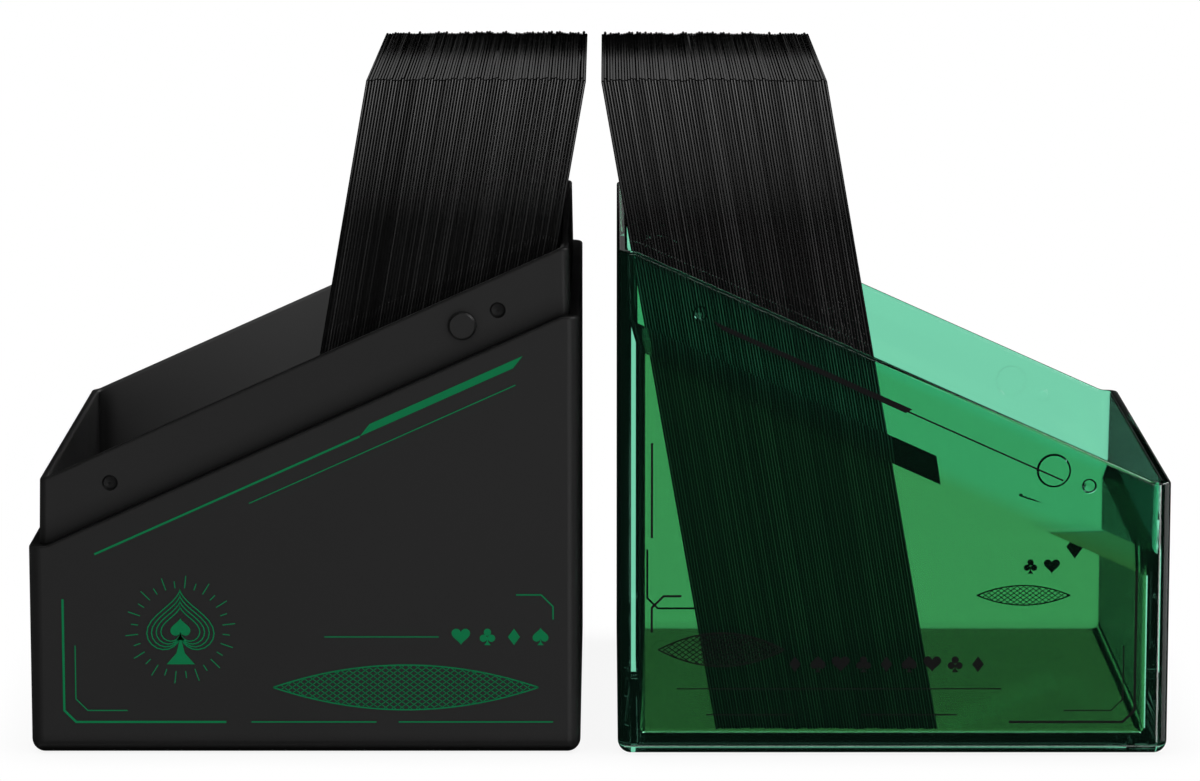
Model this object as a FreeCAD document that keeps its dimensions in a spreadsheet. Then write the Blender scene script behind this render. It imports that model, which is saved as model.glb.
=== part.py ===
import FreeCAD
import Part
import Sketcher
import math
import os

# Two-part deck box, open, with a leaning deck of sleeved cards in each half.
#
# The base and the cover are one-piece mouldings that part along a slanted line. The base
# carries a collar inside its rim, and the cover has a recess that takes the collar when the
# cover is turned upside down and lowered on to the base. Here the cover stands open side up
# at the base's right. Each half is drawn with its short end wall at x = 0 and its tall end
# wall at x = box_width, standing on z = 0, and its Placement then puts it in the row.
# +X runs along the row, +Y away from the viewer and +Z up. Millimetres and degrees.

SIZES = {
    # the closed box
    "box_width": 74.7,
    "box_depth": 77.6,
    "box_height": 97.7,
    "wall": 2.7,
    "bottom_wall": 2.1,
    "upright_edge_round": 1.8,
    "bottom_edge_round": 1.8,
    "inside_corner_round": 1.0,
    "inside_bottom_round": 1.2,
    # the slanted parting line, level for a short run along each end wall
    "short_rim": 28.7,
    "tall_rim": 60.1,
    "level_run": 2.4,
    "rim_bend_round": 2.5,
    "rim_edge_round": 0.4,
    # the base's collar and the cover's recess
    "collar_height": 9.1,
    "collar_ledge": 1.38,
    "collar_root": 2.0,
    "collar_corner_round": 1.0,
    "mould_draft": 1.1,
    "collar_clearance": 0.1,
    "recess_spare_depth": 0.6,
    "ramp_height": 3.8,
    # the snap features on the front and back walls
    "disc_radius": 1.88,
    "disc_proud": 0.4,
    "disc_edge_bevel": 0.25,
    "disc_to_tall_end": 15.9,
    "pocket_clearance": 0.16,
    "pocket_flare": 0.5,
    "dimple_radius": 1.08,
    "dimple_depth": 0.52,
    "dimple_wall_depth": 0.4,
    "dimple_wall_flare": 0.24,
    "dimple_to_end": 11.1,
    "bump_clearance": 0.07,
    # the two halves in the row
    "halves_gap": 5.06,
    "row_stagger": 0.86,
    # the sleeved cards
    "card_width": 66.0,
    "card_length": 90.5,
    "card_thickness": 0.352,
    "card_gap": 0.036,
    "card_lean": 10.0,
    "lean_clearance": 0.4,
    "foot_clearance": 0.05,
    "card_unevenness": 0.4,
    "base_card_count": 75,
    "cover_card_count": 77,
    "packet_count": 10,
}

# How far a cutting tool runs past what it cuts, and how much of the ramp's length it takes.
TOOL_MARGIN = 5.0
RAMP_REACH = 1.2
# How near an edge must lie to a place to count as being there: exactly, or about.
EXACTLY = 1e-6
NEARLY = 0.1
# The uneven heights of the cards come from the fraction of a large, fast sine.
SCATTER_STEP = 12.9898
SCATTER_SCALE = 43758.5453

doc = FreeCAD.newDocument("deck_box")
sheet = doc.addObject("Spreadsheet::Sheet", "sizes")
for row, (alias, value) in enumerate(SIZES.items(), start=1):
    sheet.set(f"A{row}", alias)
    sheet.set(f"B{row}", str(value))
    sheet.setAlias(f"B{row}", alias)
doc.recompute()


def size(alias):
    """The value of one driving dimension."""
    return float(sheet.get(alias))


# The rim as formulas: its slope, and the height of each half's rims.
RIM_RISE = "(sizes.tall_rim - sizes.short_rim)"
HALVES = {
    "base": ("sizes.short_rim", "sizes.tall_rim"),
    "cover": ("(sizes.box_height - sizes.tall_rim)", "(sizes.box_height - sizes.short_rim)"),
}
rim_slope = (size("tall_rim") - size("short_rim")) / (size("box_width") - 2 * size("level_run"))
rim_angle = math.atan(rim_slope)
draft_slope = math.tan(math.radians(size("mould_draft")))
half_rims = {
    "base": (size("short_rim"), size("tall_rim")),
    "cover": (size("box_height") - size("tall_rim"), size("box_height") - size("short_rim")),
}


def origin_plane(body, role):
    """The body's own origin plane with this role."""
    return next(plane for plane in body.Origin.OriginFeatures if plane.Role == role)


def outline_sketch(body, name, role, corners):
    """A closed outline whose corners are pairs of formulas, on one of the body's planes."""
    sketch = body.newObject("Sketcher::SketchObject", name)
    sketch.AttachmentSupport = [(origin_plane(body, role), "")]
    sketch.MapMode = "FlatFace"
    count = len(corners)
    for index in range(count):
        start = FreeCAD.Vector(index, index * index, 0)
        end = FreeCAD.Vector(index + 1, (index + 1) * (index + 1), 0)
        sketch.addGeometry(Part.LineSegment(start, end), False)
    for index in range(count):
        sketch.addConstraint(Sketcher.Constraint("Coincident", index, 2, (index + 1) % count, 1))
    for index, (across, up) in enumerate(corners):
        for kind, formula in (("DistanceX", across), ("DistanceY", up)):
            place = sketch.addConstraint(Sketcher.Constraint(kind, -1, 1, index, 1, 1.0 + index))
            sketch.setExpression(f"Constraints[{place}]", formula)
    return sketch


def edges_where(shape, test):
    """The names of the edges of a shape that pass a test."""
    return [f"Edge{number}" for number, edge in enumerate(shape.Edges, start=1) if test(edge)]


def spans(edge, axis, at_least=0.0):
    """Whether an edge is straight and runs along one axis."""
    box = edge.BoundBox
    lengths = {"x": box.XLength, "y": box.YLength, "z": box.ZLength}
    along = lengths.pop(axis)
    return along > at_least and max(lengths.values()) < EXACTLY


def rises_steeply(edge):
    """Whether an edge climbs more than it runs along."""
    box = edge.BoundBox
    return box.ZLength > box.XLength + box.YLength


def body_fillet(body, name, radius_formula, edges):
    """A fillet on edges of the body's tip."""
    base = body.Tip
    fillet = body.newObject("PartDesign::Fillet", name)
    fillet.Base = (base, edges)
    fillet.setExpression("Radius", radius_formula)
    doc.recompute()
    return fillet


def rim_corners(half, inset, raised, top=None):
    """The outline under a half's rim, or the outline above it up to a level top."""
    short, tall = HALVES[half]
    right = f"sizes.box_width - {inset}"
    level = top if top else "0"
    return [
        (f"{inset}", level),
        (right, level),
        (right, f"{tall} + {raised}"),
        ("sizes.box_width - sizes.level_run", f"{tall} + {raised}"),
        ("sizes.level_run", f"{short} + {raised}"),
        (f"{inset}", f"{short} + {raised}"),
    ]


def bend_edges(shape):
    """The two edges where the level runs of a rim meet its slant."""
    near_ends = (size("level_run"), size("box_width") - size("level_run"))
    return edges_where(
        shape,
        lambda edge: spans(edge, "y", 1.0)
        and any(abs(edge.CenterOfMass.x - at) < NEARLY for at in near_ends),
    )


def outer_block(half):
    """The outside of one half, solid, up to its rim."""
    body = doc.addObject("PartDesign::Body", f"{half}_outside")
    sketch = outline_sketch(body, f"{half}_side_view", "XZ_Plane", rim_corners(half, "0", "0"))
    pad = body.newObject("PartDesign::Pad", f"{half}_outside_block")
    pad.Profile = sketch
    pad.SideType = "Symmetric"
    pad.setExpression("Length", "sizes.box_depth")
    doc.recompute()
    body_fillet(body, f"{half}_rim_bends", "sizes.rim_bend_round", bend_edges(pad.Shape))
    uprights = edges_where(body.Tip.Shape, lambda edge: spans(edge, "z", 1.0))
    body_fillet(body, f"{half}_uprights", "sizes.upright_edge_round", uprights)
    foot = edges_where(body.Tip.Shape, lambda edge: edge.BoundBox.ZMax < EXACTLY)
    body_fillet(body, f"{half}_foot_edge", "sizes.bottom_edge_round", foot)
    return body


def hollow_plug(half):
    """The room inside one half: straight walls, round corners and a round edge at the floor."""
    body = doc.addObject("PartDesign::Body", f"{half}_room")
    near = "sizes.wall"
    far = "sizes.box_width - sizes.wall"
    side = "(sizes.box_depth / 2 - sizes.wall)"
    corners = [(near, f"-{side}"), (far, f"-{side}"), (far, side), (near, side)]
    sketch = outline_sketch(body, f"{half}_room_plan", "XY_Plane", corners)
    sketch.setExpression("AttachmentOffset.Base.z", "sizes.bottom_wall")
    pad = body.newObject("PartDesign::Pad", f"{half}_room_block")
    pad.Profile = sketch
    pad.setExpression("Length", "sizes.box_height")
    doc.recompute()
    uprights = edges_where(pad.Shape, lambda edge: spans(edge, "z", 1.0))
    body_fillet(body, f"{half}_room_uprights", "sizes.inside_corner_round", uprights)
    floor_level = size("bottom_wall") + EXACTLY
    foot = edges_where(body.Tip.Shape, lambda edge: edge.BoundBox.ZMax < floor_level)
    body_fillet(body, f"{half}_room_foot", "sizes.inside_bottom_round", foot)
    return body


def slant_corners(half, above_rim, inset):
    """The corners of a rectangle, seen from above, on a plane parallel to the slanted rim."""
    near_x = inset
    far_x = size("box_width") - inset
    side_y = size("box_depth") / 2 - inset
    start_height = half_rims[half][0] + above_rim - size("level_run") * rim_slope
    plan = [(far_x, side_y), (near_x, side_y), (near_x, -side_y), (far_x, -side_y)]
    return [FreeCAD.Vector(x, y, start_height + x * rim_slope) for x, y in plan]


def corner_arcs(half, above_rim, inset, corner_round):
    """Quarter arcs for such a rectangle's corners that are round when seen from above."""
    arcs = []
    for quarter, centre in enumerate(slant_corners(half, above_rim, inset + corner_round)):
        oval = Part.Ellipse()
        oval.Center = centre
        oval.MajorRadius = corner_round / math.cos(rim_angle)
        oval.MinorRadius = corner_round
        oval.Axis = FreeCAD.Vector(-math.sin(rim_angle), 0, math.cos(rim_angle))
        oval.XAxis = FreeCAD.Vector(math.cos(rim_angle), 0, math.sin(rim_angle))
        start = quarter * math.pi / 2
        arcs.append(Part.ArcOfEllipse(oval, start, start + math.pi / 2).toShape())
    return arcs


def sides_between(leaving, arriving):
    """The straight sides of a ring, from where each corner ends to where the next begins."""
    return list(zip(leaving, arriving[1:] + arriving[:1]))


def arc_sides(arcs):
    """The straight sides between round corners."""
    leaving = [arc.lastVertex().Point for arc in arcs]
    arriving = [arc.firstVertex().Point for arc in arcs]
    return sides_between(leaving, arriving)


def side_face(lower, upper):
    """The flat face between a side and the same side of the ring above."""
    return Part.Face(Part.makePolygon([lower[0], lower[1], upper[1], upper[0], lower[0]]))


def closed_solid(name, faces):
    """A solid from faces that close it, as a document object."""
    shell = Part.Shell(faces)
    shell.sewShape()
    feature = doc.addObject("Part::Feature", name)
    feature.Shape = Part.Solid(shell).removeSplitter()
    return feature


def sharp_plug(name, half, low, high):
    """A solid between two rings parallel to the rim, each given as (height above rim, inset)."""
    lower = slant_corners(half, *low)
    upper = slant_corners(half, *high)
    faces = [Part.Face(Part.makePolygon(ring + ring[:1])) for ring in (lower, upper)]
    for side, side_above in zip(sides_between(lower, lower), sides_between(upper, upper)):
        faces.append(side_face(side, side_above))
    return closed_solid(name, faces)


def round_plug(name, half, levels):
    """A solid through round-cornered rings, each given as (height above rim, inset, round)."""
    rings = [corner_arcs(half, *level) for level in levels]
    faces = []
    for arcs in (rings[0], rings[-1]):
        sides = [Part.makeLine(*ends) for ends in arc_sides(arcs)]
        faces.append(Part.Face(Part.Wire(Part.__sortEdges__(arcs + sides))))
    for lower, upper in zip(rings, rings[1:]):
        for arc, above in zip(lower, upper):
            faces.append(arc.extrude(above.firstVertex().Point - arc.firstVertex().Point))
        for side, side_above in zip(arc_sides(lower), arc_sides(upper)):
            faces.append(side_face(side, side_above))
    return closed_solid(name, faces)


def rim_trim(half, name, raised_formula):
    """What lies above a rim raised by a height, as a body to cut away with."""
    body = doc.addObject("PartDesign::Body", name)
    out = f"-{TOOL_MARGIN}"
    top = "2 * sizes.box_height"
    sketch = outline_sketch(body, f"{name}_view", "XZ_Plane", rim_corners(half, out, raised_formula, top))
    pad = body.newObject("PartDesign::Pad", f"{name}_block")
    pad.Profile = sketch
    pad.SideType = "Symmetric"
    pad.setExpression("Length", f"sizes.box_depth + 2 * {TOOL_MARGIN}")
    doc.recompute()
    body_fillet(body, f"{name}_bends", "sizes.rim_bend_round", bend_edges(pad.Shape))
    return body


def boolean(kind, name, base, tool):
    """A Part boolean of two objects."""
    feature = doc.addObject(kind, name)
    feature.Base = base
    feature.Tool = tool
    doc.recompute()
    return feature


def fuse_all(name, pieces):
    """One object from several."""
    feature = doc.addObject("Part::MultiFuse", name)
    feature.Shapes = pieces
    doc.recompute()
    return feature


# The snap features lie halfway up the collar, on both long walls. A feature at a distance
# from an end wall has its height from the slant there.
def rim_height_at(half, x_formula):
    """The height of a half's rim above the floor at a place along the slant, as a formula."""
    slope = f"{RIM_RISE} / (sizes.box_width - 2 * sizes.level_run)"
    return f"{HALVES[half][0]} + ({x_formula} - sizes.level_run) * {slope}"


COLLAR_FACE = "(sizes.box_depth / 2 - sizes.collar_ledge - sizes.collar_height / 2 * tan(sizes.mould_draft))"
RECESS_FACE = "(" + COLLAR_FACE + " + sizes.collar_clearance)"
SNAP_RISE = "sizes.collar_height / 2"
LONG_WALLS = (("front", -1), ("back", 1))
DIMPLE_PLACES = ("sizes.dimple_to_end", "sizes.box_width - sizes.dimple_to_end")


def snap_plug(name, half, x_formula, rise, side, radius, inner, outer, flare=None):
    """A round plug across a long wall, between two distances from the middle plane.

    With a flare it is wider by that much at its inner end.
    """
    if flare:
        plug = doc.addObject("Part::Cone", name)
        plug.setExpression("Radius1", f"{radius} + {flare}")
        plug.setExpression("Radius2", radius)
    else:
        plug = doc.addObject("Part::Cylinder", name)
        plug.setExpression("Radius", radius)
    plug.setExpression("Height", f"({outer}) - ({inner})")
    plug.Placement.Rotation = FreeCAD.Rotation(FreeCAD.Vector(1, 0, 0), -90 * side)
    plug.setExpression("Placement.Base.x", x_formula)
    plug.setExpression("Placement.Base.y", f"{side} * ({inner})")
    plug.setExpression("Placement.Base.z", f"{rim_height_at(half, x_formula)} + {rise}")
    return plug


def snap_stud(name, half, x_formula, rise, side, face_formula, clearance=0.0):
    """A round stud through a long wall's face: a steep flared wall and a domed inner end.

    It cuts a dimple, or, smaller all round by a clearance, it is the bump that fits one.
    """
    radius = size("dimple_radius") - clearance
    flare = size("dimple_wall_flare")
    wall = size("dimple_wall_depth")
    depth = size("dimple_depth") - clearance
    edge = radius - flare
    rise_of_dome = depth - wall
    dome_radius = (edge * edge + rise_of_dome * rise_of_dome) / (2 * rise_of_dome)
    half_angle = math.asin(edge / dome_radius) / 2
    pole = FreeCAD.Vector(0, 0, -depth)
    centre_height = dome_radius - depth
    middle_height = centre_height - dome_radius * math.cos(half_angle)
    middle = FreeCAD.Vector(dome_radius * math.sin(half_angle), 0, middle_height)
    rim = FreeCAD.Vector(edge, 0, -wall)
    outer_corners = [rim, FreeCAD.Vector(radius + flare, 0, wall), FreeCAD.Vector(0, 0, wall), pole]
    outline = [Part.Arc(pole, middle, rim).toShape()] + Part.makePolygon(outer_corners).Edges
    profile = Part.Face(Part.Wire(outline))
    stud = doc.addObject("Part::Feature", name)
    stud.Shape = profile.revolve(FreeCAD.Vector(0, 0, 0), FreeCAD.Vector(0, 0, 1), 360)
    stud.Placement.Rotation = FreeCAD.Rotation(FreeCAD.Vector(1, 0, 0), -90 * side)
    stud.setExpression("Placement.Base.x", x_formula)
    stud.setExpression("Placement.Base.y", f"{side} * {face_formula}")
    stud.setExpression("Placement.Base.z", f"{rim_height_at(half, x_formula)} + {rise}")
    return stud


def on_rim(edge, half, raised, inset):
    """Whether every end of an edge lies on a rim, at about this inset from the outside."""
    short, tall = half_rims[half]
    near_height = size("rim_edge_round") + NEARLY
    near_inset = size("wall") / 5
    for vertex in edge.Vertexes:
        x, y, z = vertex.Point
        slant = short + (x - size("level_run")) * rim_slope
        height = min(max(slant, short), tall) + raised
        to_side = size("box_depth") / 2 - abs(y)
        to_end = min(x, size("box_width") - x)
        if abs(z - height) > near_height or abs(min(to_side, to_end) - inset) > near_inset:
            return False
    return not spans(edge, "z")


def treated_edges(kind, name, solid, edges, alias):
    """A Part fillet or chamfer of one size on some edges of a solid."""
    feature = doc.addObject(kind, name)
    feature.Base = solid
    reach = size(alias)
    feature.Edges = [(int(edge[len("Edge") :]), reach, reach) for edge in edges]
    doc.recompute()
    return feature


def base_disc(face, side):
    """One snap disc on the collar, with its outer edge bevelled."""
    disc_x = "sizes.box_width - sizes.disc_to_tall_end"
    root = f"{COLLAR_FACE} - sizes.disc_proud"
    crown = f"{COLLAR_FACE} + sizes.disc_proud"
    disc = snap_plug(f"disc_{face}", "base", disc_x, SNAP_RISE, side, "sizes.disc_radius", root, crown)
    doc.recompute()
    reach = max(abs(vertex.Y) for vertex in disc.Shape.Vertexes)
    crown_edge = edges_where(
        disc.Shape, lambda edge: edge.Closed and abs(edge.CenterOfMass.y) > reach - EXACTLY
    )
    return treated_edges("Part::Chamfer", f"disc_{face}_bevelled", disc, crown_edge, "disc_edge_bevel")


def base_shell():
    """The base: outer walls, the collar above them and the snap discs and dimples on it."""
    root = size("collar_root")
    top = size("collar_height") + TOOL_MARGIN
    ledge = size("collar_ledge")
    foot_ring = (-root, ledge - root * draft_slope)
    top_ring = (top, ledge + top * draft_slope)
    sharp_collar = sharp_plug("collar_block", "base", foot_ring, top_ring)
    uprights = edges_where(sharp_collar.Shape, rises_steeply)
    collar = treated_edges("Part::Fillet", "collar_uprights", sharp_collar, uprights, "collar_corner_round")
    above = rim_trim("base", "above_collar", "sizes.collar_height")
    trimmed = boolean("Part::Cut", "collar_trimmed", collar, above)
    block = boolean("Part::Fuse", "base_block", outer_block("base"), trimmed)
    hollow = boolean("Part::Cut", "base_hollow", block, hollow_plug("base"))
    discs = []
    dimples = []
    for face, side in LONG_WALLS:
        discs.append(base_disc(face, side))
        for number, place in enumerate(DIMPLE_PLACES, start=1):
            dimple = snap_stud(f"dimple_{face}_{number}", "base", place, SNAP_RISE, side, COLLAR_FACE)
            dimples.append(dimple)
    dimpled = boolean("Part::Cut", "base_dimpled", hollow, fuse_all("dimples", dimples))
    moulding = fuse_all("base_moulding", [dimpled] + discs)
    raised = size("collar_height")
    insets = [(raised, ledge + raised * draft_slope), (raised, size("wall")), (0.0, 0.0)]
    edges = edges_where(
        moulding.Shape, lambda edge: any(on_rim(edge, "base", *inset) for inset in insets)
    )
    return treated_edges("Part::Fillet", "base_shell", moulding, edges, "rim_edge_round")


def cover_shell():
    """The cover: outer walls, the recess for the collar, its pockets and its bumps."""
    hollow = boolean("Part::Cut", "cover_hollow", outer_block("cover"), hollow_plug("cover"))
    depth = size("collar_height") + size("recess_spare_depth")
    mouth = recess_mouth()
    foot = mouth + depth * draft_slope
    recess_round = size("collar_corner_round") + size("collar_clearance")
    ramp_end = foot + RAMP_REACH * (size("wall") - foot)
    recess_levels = [
        (-depth - RAMP_REACH * size("ramp_height"), ramp_end, recess_round),
        (-depth, foot, recess_round),
        (TOOL_MARGIN, mouth - TOOL_MARGIN * draft_slope, recess_round),
    ]
    recess = round_plug("recess_plug", "cover", recess_levels)
    recessed = boolean("Part::Cut", "cover_recessed", hollow, recess)
    pockets = []
    bumps = []
    pocket_radius = "sizes.disc_radius + sizes.pocket_clearance"
    for face, side in LONG_WALLS:
        inner = f"{RECESS_FACE} - sizes.disc_proud"
        outer = f"{RECESS_FACE} + sizes.disc_proud + sizes.collar_clearance"
        pockets.append(
            snap_plug(
                f"pocket_{face}", "cover", "sizes.disc_to_tall_end", f"-{SNAP_RISE}", side,
                pocket_radius, inner, outer, "sizes.pocket_flare",
            )
        )
        for number, place in enumerate(DIMPLE_PLACES, start=1):
            name = f"bump_{face}_{number}"
            clearance = size("bump_clearance")
            bumps.append(snap_stud(name, "cover", place, f"-{SNAP_RISE}", side, RECESS_FACE, clearance))
    pocketed = boolean("Part::Cut", "cover_pocketed", recessed, fuse_all("pockets", pockets))
    moulding = fuse_all("cover_moulding", [pocketed] + bumps)
    insets = [(0.0, 0.0), (0.0, mouth)]
    edges = edges_where(
        moulding.Shape, lambda edge: any(on_rim(edge, "cover", *inset) for inset in insets)
    )
    return treated_edges("Part::Fillet", "cover_shell", moulding, edges, "rim_edge_round")


def recess_mouth():
    """How thick the cover's wall is at its rim, beside the recess."""
    return size("collar_ledge") - size("collar_clearance")


def unevenness(number):
    """How far one card stands up from its neighbours: uneven, but the same in every build."""
    scatter = math.sin(number * SCATTER_STEP) * SCATTER_SCALE
    return size("card_unevenness") * (scatter - math.floor(scatter))


def leaning_card(number, prop_x, prop_z):
    """One sleeved card, counted from the tall wall whose inner edge the deck leans on."""
    lean = math.radians(size("card_lean"))
    pitch = (size("card_thickness") + size("card_gap")) / math.cos(lean)
    foot_z = size("bottom_wall") + size("foot_clearance")
    drop = prop_z - foot_z
    foot_x = prop_x - (size("lean_clearance") + drop * math.sin(lean)) / math.cos(lean)
    card = Part.makeBox(size("card_thickness"), size("card_width"), size("card_length"))
    card.translate(FreeCAD.Vector(-size("card_thickness"), -size("card_width") / 2, unevenness(number)))
    card.rotate(FreeCAD.Vector(0, 0, 0), FreeCAD.Vector(0, 1, 0), size("card_lean"))
    card.translate(FreeCAD.Vector(foot_x - number * pitch, 0, foot_z))
    return card


def deck(half, prop_x, prop_z):
    """A half's cards: packets counted from the wall, and the last card by itself."""
    count = int(size(f"{half}_card_count"))
    packet = int(size("packet_count"))
    cards = [leaning_card(number, prop_x, prop_z) for number in range(count)]
    groups = [cards[start : min(start + packet, count - 1)] for start in range(0, count - 1, packet)]
    pieces = []
    for number, group in enumerate(groups, start=1):
        pieces.append(card_group(f"{half}_cards_{number}", group))
    pieces.append(card_group(f"{half}_end_card", cards[-1:]))
    return pieces


def card_group(name, cards):
    """Cards that share a node, as separate solids."""
    feature = doc.addObject("Part::Feature", name)
    feature.Shape = Part.Compound(cards)
    return feature


def place_half(pieces, turned, x_formula, y_formula):
    """Put the pieces of one half in the row."""
    for piece in pieces:
        piece.Label = piece.Name
        piece.Placement.Rotation = FreeCAD.Rotation(FreeCAD.Vector(0, 0, 1), turned)
        piece.setExpression("Placement.Base.x", x_formula)
        piece.setExpression("Placement.Base.y", y_formula)
    doc.recompute()
    return pieces


def check_document():
    """Stop if anything in the document failed."""
    for piece in doc.Objects:
        if "Invalid" in piece.State or "Error" in piece.State:
            raise RuntimeError(f"{piece.Name} failed: {piece.State}")


def export(pieces):
    """Write each piece's shape to its own STEP file."""
    for piece in pieces:
        shape = piece.Shape
        if shape.isNull() or not shape.isValid() or shape.Volume <= 0:
            raise RuntimeError(f"{piece.Label} has no valid solid")
    os.makedirs("parts", exist_ok=True)
    for piece in pieces:
        piece.Shape.exportStep(f"parts/{piece.Label}.step")


collar_top = size("tall_rim") + size("collar_height")
cover_top = size("box_height") - size("short_rim")
base_pieces = [base_shell()] + deck("base", size("box_width") - size("wall"), collar_top)
cover_pieces = [cover_shell()] + deck("cover", size("box_width") - recess_mouth(), cover_top)
place_half(base_pieces, 0, "-sizes.halves_gap / 2 - sizes.box_width", "sizes.row_stagger / 2")
place_half(cover_pieces, 180, "sizes.halves_gap / 2 + sizes.box_width", "-sizes.row_stagger / 2")
check_document()
export(base_pieces + cover_pieces)
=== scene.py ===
import math

import bmesh
import bpy
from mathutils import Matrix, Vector


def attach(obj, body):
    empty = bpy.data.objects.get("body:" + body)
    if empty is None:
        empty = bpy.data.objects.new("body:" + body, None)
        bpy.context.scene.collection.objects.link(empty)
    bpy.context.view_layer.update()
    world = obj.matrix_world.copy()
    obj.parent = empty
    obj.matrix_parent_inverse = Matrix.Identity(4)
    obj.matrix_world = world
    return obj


# Looks for the open two-part deck box: the moulded halves, their printed decoration and the
# two leaning decks of sleeved cards. Everything is in metres, in the frame of the model.

MM = 0.001

# The camera: how far it stands in front of the middle of the row, how high, and its lens.
CAMERA_PLACE = (0.81 * MM, -734.6 * MM, 164.6 * MM)
CAMERA_PITCH = 9.344
SENSOR_WIDTH = 36.0
CAMERA_LENS = 157.42
CAMERA_SHIFT_X = -0.0042

# The floor, how far it lies under the feet, its tone as matt surfaces see it, and its contact
# shadow: how far it reaches, and how pale it stays outside and as seen through the plastic.
FLOOR_FRONT = -0.72
FLOOR_BACK = 1.2
FLOOR_SIDE = 0.9
FLOOR_DROP = 0.15 * MM
FLOOR_TONE = 0.7
SHADOW_REACH = 0.01
SHADOW_FLOOR = 0.88
SHADOW_BELOW = 0.6

# How many rays look for corners, in the plastic and on the floor.
CORNER_SAMPLES = 8

# Light levels, where 1 is white: the room as matt surfaces see it, and the lights that gloss
# mirrors in the room's place, with the dark around them. Their levels and directions suit the
# view from the front. Each has its level and its soft edges: an axis of the direction, where the
# edge begins and ends along it, and whether the light lies beyond the edge or before it.
# "Through" counts the clear surfaces on the way instead of an axis. Half a bounce parts the
# rays that have bounced from those that haven't.
ROOM_LEVEL = 0.5
HALF_A_BOUNCE = 0.5
BEYOND = (0, 1)
BEFORE = (1, 0)
RIGHT_HAND = [
    ("X", 0.55, 0.6, BEYOND),
    ("X", 0.8, 0.85, BEFORE),
    ("Y", -0.1, 0.1, BEFORE),
    ("Z", -0.13, -0.1, BEYOND),
    ("Z", 0.3, 0.4, BEFORE),
]
MIRRORED = {
    "front panel": (
        1.9,
        [
            ("Y", -0.96, -0.85, BEFORE),
            ("Z", -0.1295, -0.099, BEYOND),
            ("Z", 0.1, 0.16, BEFORE),
        ],
    ),
    "right-hand strip": (
        7.0,
        [
            ("Through", 0, 1, BEFORE),
            ("X", 0.3, 0.36, BEYOND),
            ("X", 0.46, 0.52, BEFORE),
            ("Y", -0.1, 0.1, BEFORE),
            ("Z", -0.4, -0.3, BEYOND),
            ("Z", 0.1, 0.16, BEFORE),
        ],
    ),
    "right-hand panel": (0.1, RIGHT_HAND),
    "panel through the green": (0.6, [("Through", 2.5, 3.5, BEYOND)] + RIGHT_HAND),
    "side panel": (
        1.2,
        [
            ("X", 0.85, 0.9, BEYOND),
            ("Z", -0.3, -0.2, BEYOND),
            ("Z", 0.3, 0.4, BEFORE),
        ],
    ),
    "upper right panel": (
        9.0,
        [
            ("Through", 0, 1, BEFORE),
            ("X", 0.5, 0.58, BEYOND),
            ("Z", 0.46, 0.54, BEYOND),
            ("Z", 0.82, 0.88, BEFORE),
        ],
    ),
    "overhead panel": (0.8, [("Z", 0.92, 0.96, BEYOND)]),
    "low reflector": (
        2.5,
        [
            ("Y", -0.1, 0.1, BEFORE),
            ("Z", -0.86, -0.82, BEYOND),
            ("Z", -0.74, -0.7, BEFORE),
        ],
    ),
    "back wall": (
        0.155,
        [
            ("Y", -0.35, 0.35, BEYOND),
            ("Z", 0.0984, 0.1, BEYOND),
            ("Z", 0.14, 0.17, BEFORE),
        ],
    ),
}

# The two halves, in mm: the left end, the depth of the faces, the middle, and how far from the
# middle the cavity's surfaces give way to the outer ones, towards the ends and the sides.
BASE_LEFT = -77.23
BASE_FRONT = -38.37
BASE_BACK = 39.23
BASE_MIDDLE = (-39.88, 0.43)
BASE_CAVITY = ((34.75, 35.2), (36.2, 36.6))
COVER_LEFT = 2.53
COVER_FRONT = -39.23
COVER_BACK = 38.37
COVER_MIDDLE = (39.88, -0.43)
COVER_CAVITY = ((34.75, 35.4), (36.2, 37.0))
RIM_SLOPE = 31.4 / 69.9

# The black plastic: its grey outside, and in the cavity a painted light that grows lighter from the
# short end to the middle, its gloss and grain, and the painted soft shade in its corners. The cavity
# is painted lighter in place of light that would fall into it.
BLACK_TONE = (0.005, 0.0065)
BLACK_CAVITY_PAINTED_LIGHT = (0.022, 0.055)
BLACK_SPECULAR = 0.24
BLACK_ROUGHNESS = (0.4, 0.5)
BLACK_GRAIN = 5200
BLACK_MOTTLE = 90
GRAIN_STRENGTH = 0.1
GRAIN_HEIGHT = 0.03 * MM
CORNER_REACH = 3.0 * MM
CORNER_POWER = 2.0

# The green plastic: its colour round the cavity and outside, and its slight haze.
GREEN_CAVITY_COLOUR = (0.221, 0.468, 0.206, 1)
GREEN_COLOUR = (0.197, 0.663, 0.437, 1)
GREEN_CLEARNESS = 0.994
GREEN_IOR = 1.5
GREEN_HAZE = 60
GREEN_ROUGHNESS = (0.0, 0.015)

# The sleeves: their film, and a painted highlight on the facets between the front and the right,
# light above the rim of the half and lighter below it, as painted light for the dark behind the
# green. The height in the scene tells the two apart, so it is right while the halves stand.
SLEEVE_TONE = 0.0025
SLEEVE_SPECULAR = 1.0
SLEEVE_IOR = 1.7
SLEEVE_TINT = (0.4, 1)
SLEEVE_ROUGHNESS = (0.015, 0.03)
SEAM_HIGHLIGHT = (0.004, 0.03)
SUNK_SEAM_HIGHLIGHT = (0.07, 0.24)
SEAM_AHEAD = (-0.8, -0.7)
SEAM_TURNED = (0.2, 0.3)
SUNK_HEIGHT = (65 * MM, 71 * MM)
LEVEL_TOP = (0.9, 0.95)
FILM_WAVES = 180
FILM_STRENGTH = 0.008
FILM_HEIGHT = 0.05 * MM

# The sleeved cards: how far their corners move out, which all but closes the gap between two
# cards, and their rounded edges.
CARD_SWELL = 0.029 * MM
CARD_EDGE_ROUND = 0.155 * MM
MEND_DISTANCE = 0.001 * MM

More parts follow.
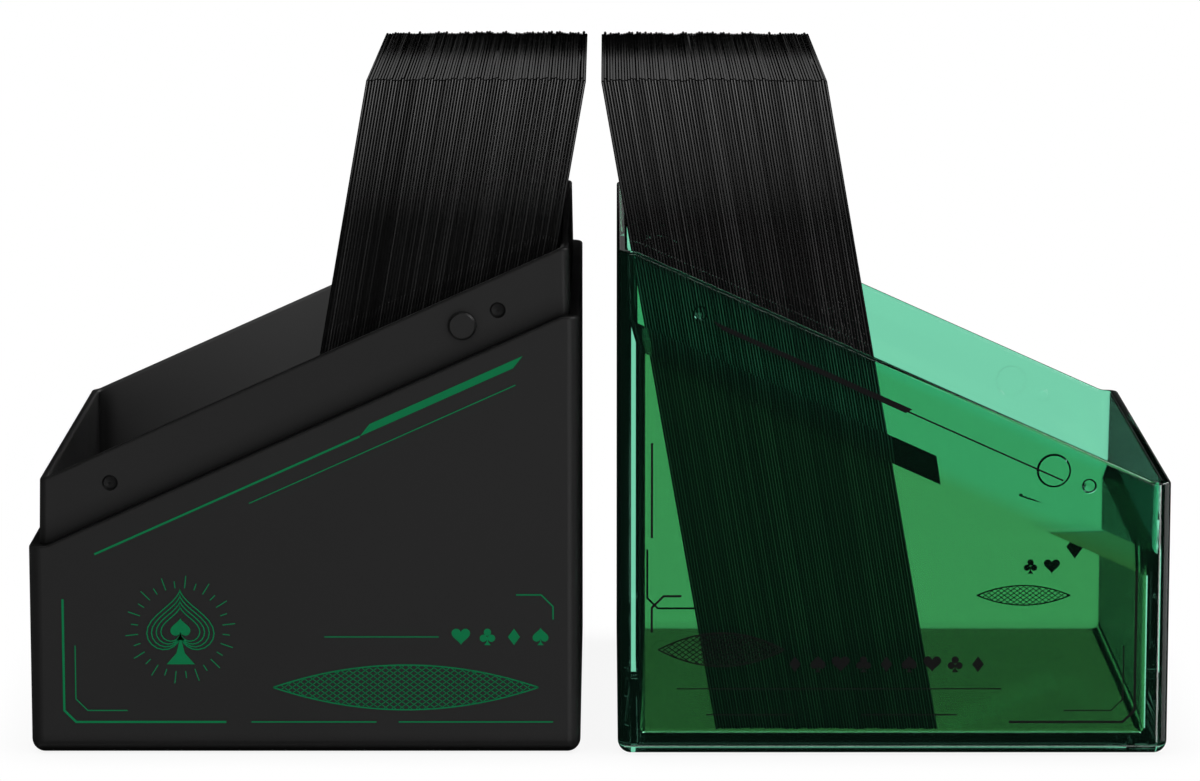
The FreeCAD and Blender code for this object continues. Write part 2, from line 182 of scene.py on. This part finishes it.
# The ink: its two colours fresh and worn, its gloss, and its inner and outer depth in mm.
GREEN_INK = ((0.0, 0.135, 0.046, 1), (0.002, 0.115, 0.04, 1))
BLACK_INK = ((0.001, 0.001, 0.001, 1), (0.003, 0.003, 0.003, 1))
INK_SPECULAR = 0.1
INK_ROUGHNESS = (0.45, 0.6)
INK_PATCHES = 700
INK_GAP = 0.002
INK_THICKNESS = 0.02

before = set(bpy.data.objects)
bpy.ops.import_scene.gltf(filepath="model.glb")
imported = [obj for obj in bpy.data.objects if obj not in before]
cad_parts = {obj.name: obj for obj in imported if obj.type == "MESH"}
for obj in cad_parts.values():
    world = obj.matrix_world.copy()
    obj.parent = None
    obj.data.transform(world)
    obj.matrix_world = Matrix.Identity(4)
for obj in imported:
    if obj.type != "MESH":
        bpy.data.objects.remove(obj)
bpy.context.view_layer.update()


def node_material(name):
    """A new node-based material, with its nodes, links and output."""
    material = bpy.data.materials.new(name)
    material.use_nodes = True
    nodes = material.node_tree.nodes
    nodes.clear()
    output = nodes.new("ShaderNodeOutputMaterial")
    return material, nodes, material.node_tree.links, output


def grey(level):
    """A grey colour."""
    return (level, level, level, 1)


def object_noise(nodes, links, scale, detail):
    """A noise over the object's own coordinates."""
    place = nodes.new("ShaderNodeTexCoord")
    noise = nodes.new("ShaderNodeTexNoise")
    noise.inputs["Scale"].default_value = scale
    noise.inputs["Detail"].default_value = detail
    links.new(place.outputs["Object"], noise.inputs["Vector"])
    return noise.outputs["Fac"]


def separated(nodes, links, vector):
    """The X, Y and Z of a vector."""
    parts = nodes.new("ShaderNodeSeparateXYZ")
    links.new(vector, parts.inputs["Vector"])
    return parts.outputs


def faded(nodes, links, source, start, end, low, high):
    """A value that goes evenly from low to high between two limits."""
    fade = nodes.new("ShaderNodeMapRange")
    fade.inputs["From Min"].default_value = start
    fade.inputs["From Max"].default_value = end
    fade.inputs["To Min"].default_value = low
    fade.inputs["To Max"].default_value = high
    links.new(source, fade.inputs["Value"])
    return fade.outputs["Result"]


def mapped(nodes, links, source, low, high):
    """A value between 0 and 1, spread between a low and a high value."""
    return faded(nodes, links, source, 0, 1, low, high)


def blended(nodes, links, source, first, second):
    """A colour between two colours, where each is a plain colour or another node's."""
    mix = nodes.new("ShaderNodeMix")
    mix.data_type = "RGBA"
    links.new(source, mix.inputs["Factor"])
    for side, colour in (("A", first), ("B", second)):
        if isinstance(colour, tuple):
            mix.inputs[side].default_value = colour
        else:
            links.new(colour, mix.inputs[side])
    return mix.outputs["Result"]


def shaded(nodes, links, colour, shade):
    """A colour multiplied by another."""
    mix = nodes.new("ShaderNodeMix")
    mix.data_type = "RGBA"
    mix.blend_type = "MULTIPLY"
    mix.inputs["Factor"].default_value = 1
    links.new(colour, mix.inputs["A"])
    links.new(shade, mix.inputs["B"])
    return mix.outputs["Result"]


def bumped(nodes, links, height, strength, distance):
    """A bump from a height field."""
    bump = nodes.new("ShaderNodeBump")
    bump.inputs["Strength"].default_value = strength
    bump.inputs["Distance"].default_value = distance
    links.new(height, bump.inputs["Height"])
    return bump.outputs["Normal"]


def worked(nodes, links, operation, source, number=0):
    """A value after one operation, with a plain number where the operation takes one."""
    step = nodes.new("ShaderNodeMath")
    step.operation = operation
    step.inputs[1].default_value = number
    links.new(source, step.inputs[0])
    return step.outputs["Value"]


def joined(nodes, links, operation, first, *others):
    """Values joined one after another by one operation."""
    result = first
    for other in others:
        step = nodes.new("ShaderNodeMath")
        step.operation = operation
        links.new(result, step.inputs[0])
        links.new(other, step.inputs[1])
        result = step.outputs["Value"]
    return result


def far_from(nodes, links, source, middle, start, end):
    """0 near a middle value and 1 far from it on both sides."""
    offset = worked(nodes, links, "SUBTRACT", source, middle * MM)
    distance = worked(nodes, links, "ABSOLUTE", offset)
    return faded(nodes, links, distance, start * MM, end * MM, 0, 1)


def outside(nodes, links, parts, middle, cavity):
    """0 on the surfaces of a half's cavity and 1 on its outer ones."""
    ends, sides = cavity
    aside = far_from(nodes, links, parts["X"], middle[0], *ends)
    along = far_from(nodes, links, parts["Y"], middle[1], *sides)
    return joined(nodes, links, "MAXIMUM", aside, along)


def cornered(nodes, links, reach, power):
    """A colour from white in the open to dark in corners within a reach: painted shade from ambient
    occlusion.
    """
    corner = nodes.new("ShaderNodeAmbientOcclusion")
    corner.inputs["Distance"].default_value = reach
    corner.samples = CORNER_SAMPLES
    depth = worked(nodes, links, "POWER", corner.outputs["AO"], power)
    return blended(nodes, links, depth, grey(0), grey(1))


def black_plastic():
    """Matt moulded black plastic with a fine spark-eroded grain, with painted light in its cavity and
    painted shade in its corners.
    """
    material, nodes, links, output = node_material("black_plastic")
    shader = nodes.new("ShaderNodeBsdfPrincipled")
    shader.inputs["Specular IOR Level"].default_value = BLACK_SPECULAR
    grain = object_noise(nodes, links, BLACK_GRAIN, detail=3)
    mottle = object_noise(nodes, links, BLACK_MOTTLE, detail=2)
    tone = blended(nodes, links, mottle, *map(grey, BLACK_TONE))
    place = nodes.new("ShaderNodeTexCoord")
    parts = separated(nodes, links, place.outputs["Object"])
    outer = outside(nodes, links, parts, BASE_MIDDLE, BASE_CAVITY)
    # Painted light: the cavity's tone rises from the short end to the middle, in place of light
    # falling into it.
    depth = faded(nodes, links, parts["X"], BASE_LEFT * MM, BASE_MIDDLE[0] * MM, 0, 1)
    cavity = blended(nodes, links, depth, *map(grey, BLACK_CAVITY_PAINTED_LIGHT))
    lit = blended(nodes, links, outer, cavity, tone)
    # Painted shade: the corners darken both the colour and the gloss.
    corners = cornered(nodes, links, CORNER_REACH, CORNER_POWER)
    links.new(shaded(nodes, links, lit, corners), shader.inputs["Base Color"])
    links.new(corners, shader.inputs["Specular Tint"])
    links.new(mapped(nodes, links, mottle, *BLACK_ROUGHNESS), shader.inputs["Roughness"])
    links.new(bumped(nodes, links, grain, GRAIN_STRENGTH, GRAIN_HEIGHT), shader.inputs["Normal"])
    links.new(shader.outputs["BSDF"], output.inputs["Surface"])
    return material


def green_plastic():
    """Polished see-through green plastic, deeper in colour around the cavity."""
    material, nodes, links, output = node_material("green_plastic")
    shader = nodes.new("ShaderNodeBsdfPrincipled")
    shader.inputs["Transmission Weight"].default_value = GREEN_CLEARNESS
    shader.inputs["IOR"].default_value = GREEN_IOR
    place = nodes.new("ShaderNodeTexCoord")
    parts = separated(nodes, links, place.outputs["Object"])
    outer = outside(nodes, links, parts, COVER_MIDDLE, COVER_CAVITY)
    tint = blended(nodes, links, outer, GREEN_CAVITY_COLOUR, GREEN_COLOUR)
    links.new(tint, shader.inputs["Base Color"])
    haze = object_noise(nodes, links, GREEN_HAZE, detail=2)
    links.new(mapped(nodes, links, haze, *GREEN_ROUGHNESS), shader.inputs["Roughness"])
    links.new(shader.outputs["BSDF"], output.inputs["Surface"])
    return material


def sleeve_colour(nodes, links, geometry, facing):
    """Dark film with a painted highlight on the seams between the front and the right, each sleeve a
    little different.
    """
    each = geometry.outputs["Random Per Island"]
    ahead = faded(nodes, links, facing["Y"], *SEAM_AHEAD, 1, 0)
    turned = faded(nodes, links, facing["X"], *SEAM_TURNED, 0, 1)
    seam = joined(nodes, links, "MULTIPLY", ahead, turned)
    # Painted highlight on the seams, its strength at random per sleeve; below the rim it is lighter
    # still, as painted light for the dark behind the green.
    highlight_share = joined(nodes, links, "MULTIPLY", each, each)
    pale = blended(nodes, links, highlight_share, *map(grey, SEAM_HIGHLIGHT))
    sunk_highlight = blended(nodes, links, each, *map(grey, SUNK_SEAM_HIGHLIGHT))
    place = separated(nodes, links, geometry.outputs["Position"])
    away = worked(nodes, links, "ABSOLUTE", place["X"])
    fall = worked(nodes, links, "MULTIPLY", away, RIM_SLOPE)
    height = joined(nodes, links, "ADD", fall, place["Z"])
    sunk = faded(nodes, links, height, *SUNK_HEIGHT, 1, 0)
    line = blended(nodes, links, sunk, pale, sunk_highlight)
    return blended(nodes, links, seam, grey(SLEEVE_TONE), line)


def sleeve_normal(nodes, links, geometry, facing):
    """The film's slight waves; the top edges, which lean with their cards, shine as if level."""
    level = nodes.new("ShaderNodeMix")
    level.data_type = "VECTOR"
    level.inputs["B"].default_value = (0, 0, 1)
    links.new(faded(nodes, links, facing["Z"], *LEVEL_TOP, 0, 1), level.inputs["Factor"])
    links.new(geometry.outputs["Normal"], level.inputs["A"])
    film = object_noise(nodes, links, FILM_WAVES, detail=2)
    bump = bumped(nodes, links, film, FILM_STRENGTH, FILM_HEIGHT)
    links.new(level.outputs["Result"], bump.node.inputs["Normal"])
    return bump


def card_sleeve():
    """Dark glossy sleeve film, with a painted highlight on its seams."""
    material, nodes, links, output = node_material("card_sleeve")
    shader = nodes.new("ShaderNodeBsdfPrincipled")
    shader.inputs["Specular IOR Level"].default_value = SLEEVE_SPECULAR
    shader.inputs["IOR"].default_value = SLEEVE_IOR
    geometry = nodes.new("ShaderNodeNewGeometry")
    each = geometry.outputs["Random Per Island"]
    facing = separated(nodes, links, geometry.outputs["Normal"])
    links.new(sleeve_colour(nodes, links, geometry, facing), shader.inputs["Base Color"])
    tint = blended(nodes, links, each, *map(grey, SLEEVE_TINT))
    links.new(tint, shader.inputs["Specular Tint"])
    links.new(mapped(nodes, links, each, *SLEEVE_ROUGHNESS), shader.inputs["Roughness"])
    links.new(sleeve_normal(nodes, links, geometry, facing), shader.inputs["Normal"])
    links.new(shader.outputs["BSDF"], output.inputs["Surface"])
    return material


def ink(name, fresh, worn):
    """Printed ink, a little uneven."""
    material, nodes, links, output = node_material(name)
    shader = nodes.new("ShaderNodeBsdfPrincipled")
    shader.inputs["Specular IOR Level"].default_value = INK_SPECULAR
    patch = object_noise(nodes, links, INK_PATCHES, detail=3)
    links.new(blended(nodes, links, patch, fresh, worn), shader.inputs["Base Color"])
    links.new(mapped(nodes, links, patch, *INK_ROUGHNESS), shader.inputs["Roughness"])
    links.new(shader.outputs["BSDF"], output.inputs["Surface"])
    return material


def dress(node, material):
    """Give a carried-over node its material."""
    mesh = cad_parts[node].data
    mesh.materials.clear()
    mesh.materials.append(material)


def soften_cards(node):
    """Swell a packet of sleeved cards and round their edges."""
    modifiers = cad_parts[node].modifiers
    mend = modifiers.new("mend", "WELD")
    mend.merge_threshold = MEND_DISTANCE
    swell = modifiers.new("swell", "DISPLACE")
    swell.strength = CARD_SWELL
    swell.mid_level = 0
    edges = modifiers.new("rounded edges", "BEVEL")
    edges.width = CARD_EDGE_ROUND
    edges.segments = 2
    edges.limit_method = "ANGLE"


def dress_all():
    """Materials for the two mouldings and for every packet of cards."""
    sleeve = card_sleeve()
    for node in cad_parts:
        if node == "base_shell":
            dress(node, black_plastic())
        elif node == "cover_shell":
            dress(node, green_plastic())
        else:
            dress(node, sleeve)
            soften_cards(node)


# The printed decoration: flat shapes in mm, u along a wall from its left end and v up it.

# The widths of its lines, in mm.
HAIRLINE = 0.12
RAY_LINE = 0.14
FINE_LINE = 0.16
THIN_LINE = 0.2
TRAILING_LINE = 0.22
FIRM_LINE = 0.3
BOLD_LINE = 0.32
BAR = 1.1
# How far a line's corners may grow as it turns.
CORNER_LIMIT = 0.4
# How far the ends of a thick bar slant, as a share of its thickness.
BAR_SLANT = 1.2
# A lattice's lines: how far they lean, the steps that find their ends, and the arcs' steps and
# weight.
LATTICE_LEAN = 1.4
LATTICE_STEPS = 40
LENS_STEPS = 32
LENS_WEIGHT = 1.6
# The spade with rays, as shares of its height: its nested outlines, its solid middle and the
# rays, which are long and short by turns.
NESTED_SPADES = (1.0, 0.86, 0.72, 0.58)
MIDDLE_SPADE = 0.3
RAY_COUNT = 28
RAY_START = 0.6
RAY_ENDS = (0.78, 0.7)


def stroke(points, width, closed=False):
    """The four-sided pieces of a line of constant width through some points."""
    path = [Vector(point) for point in points]
    count = len(path)
    sides = []
    for index, here in enumerate(path):
        before = path[index - 1] if index or closed else here
        after = path[(index + 1) % count] if index < count - 1 or closed else here
        back = (here - before).normalized()
        ahead = (after - here).normalized()
        run = (back + ahead).normalized()
        lean = max(CORNER_LIMIT, run.dot(ahead if ahead.length else back))
        across = Vector((-run.y, run.x)) * (width / 2 / lean)
        sides.append((here + across, here - across))
    pairs = list(zip(sides, sides[1:] + sides[:1] if closed else sides[1:]))
    return [[first[0], first[1], second[1], second[0]] for first, second in pairs]


def placed(points, centre, scale):
    """A unit outline moved and scaled."""
    return [(centre[0] + u * scale, centre[1] + v * scale) for u, v in points]


def heart_outline(count=40):
    """A heart of unit height about its middle, from the well-known heart curve."""
    tall = 29
    middle = -2.5
    outline = []
    for index in range(count):
        t = 2 * math.pi * index / count
        u = 16 * math.sin(t) ** 3
        v = 13 * math.cos(t) - 5 * math.cos(2 * t) - 2 * math.cos(3 * t) - math.cos(4 * t)
        outline.append((u / tall, (v - middle) / tall))
    return outline


def spade_outlines():
    """A spade of unit height: its leaf, which is a heart turned over, and its foot."""
    size = 0.86
    rise = 0.14
    leaf = [(size * u, rise - size * v) for u, v in heart_outline()]
    foot = [(0, -0.1), (-0.06, -0.34), (-0.2, -0.5), (0.2, -0.5), (0.06, -0.34)]
    return [leaf, foot]


def disc_outline(centre, radius, count=20):
    """A round spot."""
    turns = [2 * math.pi * index / count for index in range(count)]
    return [(centre[0] + radius * math.cos(t), centre[1] + radius * math.sin(t)) for t in turns]


def club_outlines():
    """A club of unit height: three leaves and its foot."""
    radius = 0.22
    leaves = [disc_outline(at, radius) for at in ((0, 0.28), (-0.24, -0.08), (0.24, -0.08))]
    foot = [(0, 0.16), (-0.05, -0.3), (-0.2, -0.5), (0.2, -0.5), (0.05, -0.3)]
    return leaves + [foot]


def diamond_outline():
    """A diamond of unit height."""
    return [(0, 0.5), (-0.36, 0), (0, -0.5), (0.36, 0)]


def suit(kind, centre, height):
    """One of the four card suits as filled shapes."""
    outlines = {
        "heart": [heart_outline()],
        "spade": spade_outlines(),
        "club": club_outlines(),
        "diamond": [diamond_outline()],
    }[kind]
    return [placed(outline, centre, height) for outline in outlines]


def suit_row(kinds, start, step, height):
    """Card suits in a row."""
    shapes = []
    for index, kind in enumerate(kinds):
        shapes += suit(kind, (start[0] + index * step, start[1]), height)
    return shapes


def lattice(centre, width, height, pitch, line):
    """A lens of crossing slanted lines between two arcs, as on a card back."""
    shapes = []
    half = width / 2

    def arc(u):
        return height / 2 * (1 - (u / half) ** 2)

    count = int(width / pitch)
    for lean in (-1, 1):
        for index in range(-count, count + 1):
            inside = []
            for step in range(LATTICE_STEPS + 1):
                v = height * (step / LATTICE_STEPS - 0.5)
                u = index * pitch + lean * v * LATTICE_LEAN
                if abs(u) < half and abs(v) <= arc(u):
                    inside.append((centre[0] + u, centre[1] + v))
            if len(inside) > 1:
                shapes += stroke([inside[0], inside[-1]], line)
    for side in (-1, 1):
        rim = [half * (2 * step / LENS_STEPS - 1) for step in range(LENS_STEPS + 1)]
        points = [(centre[0] + u, centre[1] + side * arc(u)) for u in rim]
        shapes += stroke(points, line * LENS_WEIGHT)
    return shapes


def sun_spade(centre, height):
    """A spade drawn with nested lines before a fan of rays."""
    shapes = []
    whole_leaf, whole_foot = spade_outlines()
    for scale in NESTED_SPADES:
        leaf = placed(whole_leaf, centre, height * scale)
        shapes += stroke(leaf, FINE_LINE, closed=True)
    shapes += suit("spade", centre, height * MIDDLE_SPADE)
    shapes += [placed(whole_foot, centre, height)]
    for index in range(RAY_COUNT):
        turn = 2 * math.pi * (index + 0.5) / RAY_COUNT
        near = RAY_START * height
        far = RAY_ENDS[index % 2] * height
        way = (math.cos(turn), math.sin(turn))
        ends = [(centre[0] + way[0] * reach, centre[1] + way[1] * reach) for reach in (near, far)]
        shapes += stroke(ends, RAY_LINE)
    return shapes


def bracket(corner, along, up, line):
    """A corner bracket with a cut corner; negative lengths run left or down."""
    cut = 1.6
    towards = math.copysign(cut, along)
    rising = math.copysign(cut, up)
    points = [
        (corner[0] + along, corner[1]),
        (corner[0] + towards, corner[1]),
        (corner[0], corner[1] + rising),
        (corner[0], corner[1] + up),
    ]
    return stroke(points, line)


def slanted_bar(start, thin_run, thick_run, slope, thin, thick):
    """A pinstripe along a slope that steps up to a thick bar with slanted ends."""
    u, v = start
    middle = (u + thin_run, v + thin_run * slope)
    end = (middle[0] + thick_run, middle[1] + thick_run * slope)
    step = thick * BAR_SLANT
    bar = [
        middle,
        (middle[0] + step, middle[1] + step * slope + thick),
        (end[0], end[1] + thick),
        (end[0] - step, end[1] - step * slope),
    ]
    return stroke([start, middle], thin) + [bar]


def base_front_design():
    """The front of the base: all motifs are common card ornaments."""
    shapes = slanted_bar((9, 27.6), 36, 22, RIM_SLOPE, FIRM_LINE, BAR)
    shapes += stroke([(30, 34.6), (66, 34.6 + 36 * RIM_SLOPE)], FINE_LINE)
    shapes += bracket((4.6, 4.4), 22, 17, BOLD_LINE)
    shapes += bracket((6.2, 6.0), 7, 9, FINE_LINE)
    shapes += sun_spade((20.5, 17.2), 9.6)
    shapes += lattice((51, 9.2), 36, 6.2, 1.1, HAIRLINE)
    shapes += stroke([(30, 4.4), (47, 4.4)], THIN_LINE) + stroke([(50, 4.4), (71, 4.4)], THIN_LINE)
    shapes += suit_row(["heart", "club", "diamond", "spade"], (58.5, 16.2), 3.6, 2.3)
    shapes += stroke([(40, 16.2), (55.5, 16.2)], FINE_LINE)
    shapes += bracket((71, 22), -5, -3.4, THIN_LINE)
    return shapes


def base_back_design():
    """The back of the base."""
    shapes = lattice((37, 10), 44, 7, 1.2, HAIRLINE)
    shapes += bracket((4.6, 4.4), 14, 17, BOLD_LINE) + bracket((70.1, 4.4), -14, 17, BOLD_LINE)
    shapes += suit_row(["spade", "heart", "club", "diamond"], (31.6, 17), 3.6, 2.3)
    return shapes


def cover_front_design():
    """The front of the cover."""
    shapes = [[(12.6, 59.7), (14.0, 58.4), (38.7, 47.1), (39.6, 47.6)]]
    shapes += stroke([(39, 47.3), (60, 47.3 - 21 * RIM_SLOPE)], TRAILING_LINE)
    shapes += bracket((70.1, 4.6), -17, 21, BOLD_LINE)
    shapes += bracket((68.5, 6.2), -8, 9, FINE_LINE)
    kinds = ["diamond", "spade", "heart", "club", "diamond", "spade", "heart", "club", "diamond"]
    shapes += suit_row(kinds, (24, 12.6), 3.1, 2.2)
    shapes += stroke([(8, 9.2), (52, 9.2)], FINE_LINE)
    shapes += stroke([(12, 5.6), (24, 5.6)], FINE_LINE) + stroke([(33, 5.6), (46, 5.6)], FINE_LINE)
    shapes += lattice((14, 14.6), 17, 4.6, 0.95, HAIRLINE)
    shapes += bracket((4.6, 22), 4, -5, FIRM_LINE) + stroke([(4.6, 30), (4.6, 43)], FIRM_LINE)
    return shapes


def cover_back_design():
    """The back of the cover, seen through it from the front."""
    shapes = suit("spade", (16, 12), 5.5) + suit("diamond", (68.6, 14), 3.6)
    shapes += suit_row(["club", "heart"], (62, 11), 3.2, 2.2)
    shapes += lattice((61, 6.6), 14, 3, 0.95, HAIRLINE)
    shapes += bracket((4.6, 4.6), 8, 9, FIRM_LINE)
    return shapes


def printed(name, body, material, walls):
    """A thin print on the walls of a half; each wall is its shapes, left end, depth and side."""
    build = bmesh.new()
    for shapes, left, depth, side in walls:
        for shape in shapes:
            places = [((left + u) * MM, v * MM) for u, v in shape]
            outer = [build.verts.new((x, (depth + side * INK_THICKNESS) * MM, z)) for x, z in places]
            inner = [build.verts.new((x, (depth + side * INK_GAP) * MM, z)) for x, z in places]
            build.faces.new(outer)
            build.faces.new(inner[::-1])
            for index in range(len(places)):
                build.faces.new((outer[index - 1], inner[index - 1], inner[index], outer[index]))
    bmesh.ops.recalc_face_normals(build, faces=build.faces)
    mesh = bpy.data.meshes.new(name)
    build.to_mesh(mesh)
    build.free()
    mesh.materials.append(material)
    piece = bpy.data.objects.new(name, mesh)
    bpy.context.scene.collection.objects.link(piece)
    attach(piece, body)


def print_halves():
    """The decoration on both halves, front and back."""
    green = ink("green_ink", *GREEN_INK)
    base_walls = [
        (base_front_design(), BASE_LEFT, BASE_FRONT, -1),
        (base_back_design(), BASE_LEFT, BASE_BACK, 1),
    ]
    printed("base_print", "base", green, base_walls)
    black = ink("black_ink", *BLACK_INK)
    cover_walls = [
        (cover_front_design(), COVER_LEFT, COVER_FRONT, -1),
        (cover_back_design(), COVER_LEFT, COVER_BACK, 1),
    ]
    printed("cover_print", "cover", black, cover_walls)


def set_camera():
    """The camera at the viewing angle of the picture."""
    data = bpy.data.cameras.new("camera")
    data.sensor_fit = "HORIZONTAL"
    data.sensor_width = SENSOR_WIDTH
    data.lens = CAMERA_LENS
    data.shift_x = CAMERA_SHIFT_X
    data.clip_start = 0.01
    data.clip_end = 50
    camera = bpy.data.objects.new("camera", data)
    camera.location = CAMERA_PLACE
    camera.rotation_euler = (math.radians(90 - CAMERA_PITCH), 0, 0)
    bpy.context.scene.collection.objects.link(camera)
    bpy.context.scene.camera = camera


def chosen(nodes, links, switch, first, second):
    """The first value where the switch is 0, and the second where it is 1."""
    mix = nodes.new("ShaderNodeMix")
    links.new(switch, mix.inputs["Factor"])
    links.new(first, mix.inputs["A"])
    links.new(second, mix.inputs["B"])
    return mix.outputs["Result"]


def never(nodes, links, count):
    """1 where a count of bounces is 0."""
    return worked(nodes, links, "LESS_THAN", count, HALF_A_BOUNCE)


def reflected(nodes, links, path):
    """1 where a ray comes from the camera by way of a mirroring surface."""
    matt = never(nodes, links, path.outputs["Diffuse Depth"])
    glossy = worked(nodes, links, "GREATER_THAN", path.outputs["Glossy Depth"], HALF_A_BOUNCE)
    return joined(nodes, links, "MULTIPLY", matt, glossy)


def straight(nodes, links, path):
    """1 where a ray comes from the camera with nothing but clear plastic on its way."""
    bounces = joined(nodes, links, "ADD", path.outputs["Glossy Depth"], path.outputs["Diffuse Depth"])
    return never(nodes, links, bounces)


def constant(nodes, level):
    """A plain number."""
    value = nodes.new("ShaderNodeValue")
    value.outputs["Value"].default_value = level
    return value.outputs["Value"]


def set_world():
    """White where it is seen or seen through; gloss mirrors soft lights in the dark instead."""
    world = bpy.data.worlds.new("studio")
    bpy.context.scene.world = world
    world.use_nodes = True
    world.cycles.sampling_method = "NONE"
    nodes = world.node_tree.nodes
    links = world.node_tree.links
    nodes.clear()
    output = nodes.new("ShaderNodeOutputWorld")
    path = nodes.new("ShaderNodeLightPath")
    sky = nodes.new("ShaderNodeTexCoord")
    parts = separated(nodes, links, sky.outputs["Generated"])
    measures = {"Through": path.outputs["Transmission Depth"]}
    for axis in "XYZ":
        measures[axis] = parts[axis]
    lights = []
    for strength, edges in MIRRORED.values():
        sides = [faded(nodes, links, measures[axis], *ends, *way) for axis, *ends, way in edges]
        lights.append(joined(nodes, links, "MULTIPLY", constant(nodes, strength), *sides))
    mirrored = joined(nodes, links, "MAXIMUM", *lights)
    level = chosen(nodes, links, reflected(nodes, links, path), constant(nodes, ROOM_LEVEL), mirrored)
    strength = chosen(nodes, links, straight(nodes, links, path), level, constant(nodes, 1))
    background = nodes.new("ShaderNodeBackground")
    background.inputs["Color"].default_value = grey(1)
    links.new(strength, background.inputs["Strength"])
    links.new(background.outputs["Background"], output.inputs["Surface"])


def set_floor():
    """A plain pale floor with a soft contact shadow, which gloss doesn't mirror."""
    mesh = bpy.data.meshes.new("floor")
    corners = [
        (-FLOOR_SIDE, FLOOR_FRONT, 0),
        (FLOOR_SIDE, FLOOR_FRONT, 0),
        (FLOOR_SIDE, FLOOR_BACK, 0),
        (-FLOOR_SIDE, FLOOR_BACK, 0),
    ]
    mesh.from_pydata(corners, [], [(0, 1, 2, 3)])
    floor = bpy.data.objects.new("floor", mesh)
    floor.location.z = -FLOOR_DROP
    bpy.context.scene.collection.objects.link(floor)
    material, nodes, links, output = node_material("floor")
    path = nodes.new("ShaderNodeLightPath")
    shade = nodes.new("ShaderNodeAmbientOcclusion")
    shade.inputs["Distance"].default_value = SHADOW_REACH
    shade.samples = CORNER_SAMPLES
    white = nodes.new("ShaderNodeEmission")
    beside = mapped(nodes, links, shade.outputs["AO"], SHADOW_FLOOR, 1)
    below = mapped(nodes, links, shade.outputs["AO"], SHADOW_BELOW, 1)
    level = chosen(nodes, links, path.outputs["Is Camera Ray"], below, beside)
    links.new(level, white.inputs["Strength"])
    pale = nodes.new("ShaderNodeBsdfDiffuse")
    pale.inputs["Color"].default_value = grey(FLOOR_TONE)
    unseen = nodes.new("ShaderNodeBsdfTransparent")
    matt = nodes.new("ShaderNodeMixShader")
    links.new(reflected(nodes, links, path), matt.inputs["Fac"])
    links.new(pale.outputs["BSDF"], matt.inputs[1])
    links.new(unseen.outputs["BSDF"], matt.inputs[2])
    mix = nodes.new("ShaderNodeMixShader")
    links.new(straight(nodes, links, path), mix.inputs["Fac"])
    links.new(matt.outputs["Shader"], mix.inputs[1])
    links.new(white.outputs["Emission"], mix.inputs[2])
    links.new(mix.outputs["Shader"], output.inputs["Surface"])
    mesh.materials.append(material)


def area_light(name, place, target, width, height, power):
    """A soft rectangular lamp that points at a target."""
    data = bpy.data.lights.new(name, "AREA")
    data.shape = "RECTANGLE"
    data.size = width
    data.size_y = height
    data.energy = power
    lamp = bpy.data.objects.new(name, data)
    lamp.location = place
    aim = Vector(target) - Vector(place)
    lamp.rotation_euler = aim.to_track_quat("-Z", "Y").to_euler()
    lamp.visible_camera = False
    lamp.visible_transmission = False
    lamp.visible_glossy = False
    bpy.context.scene.collection.objects.link(lamp)


def set_lamps():
    """Plain soft studio light, which gloss doesn't mirror."""
    area_light("key", (-0.3, -1.4, 0.9), target=(0, 0, 0.04), width=1.2, height=1.0, power=12)
    area_light("top", (0.0, -0.1, 1.3), target=(0, 0, 0), width=1.0, height=1.0, power=5)


bpy.context.scene.view_settings.view_transform = "Standard"
set_camera()
set_world()
set_floor()
set_lamps()
dress_all()
print_halves()
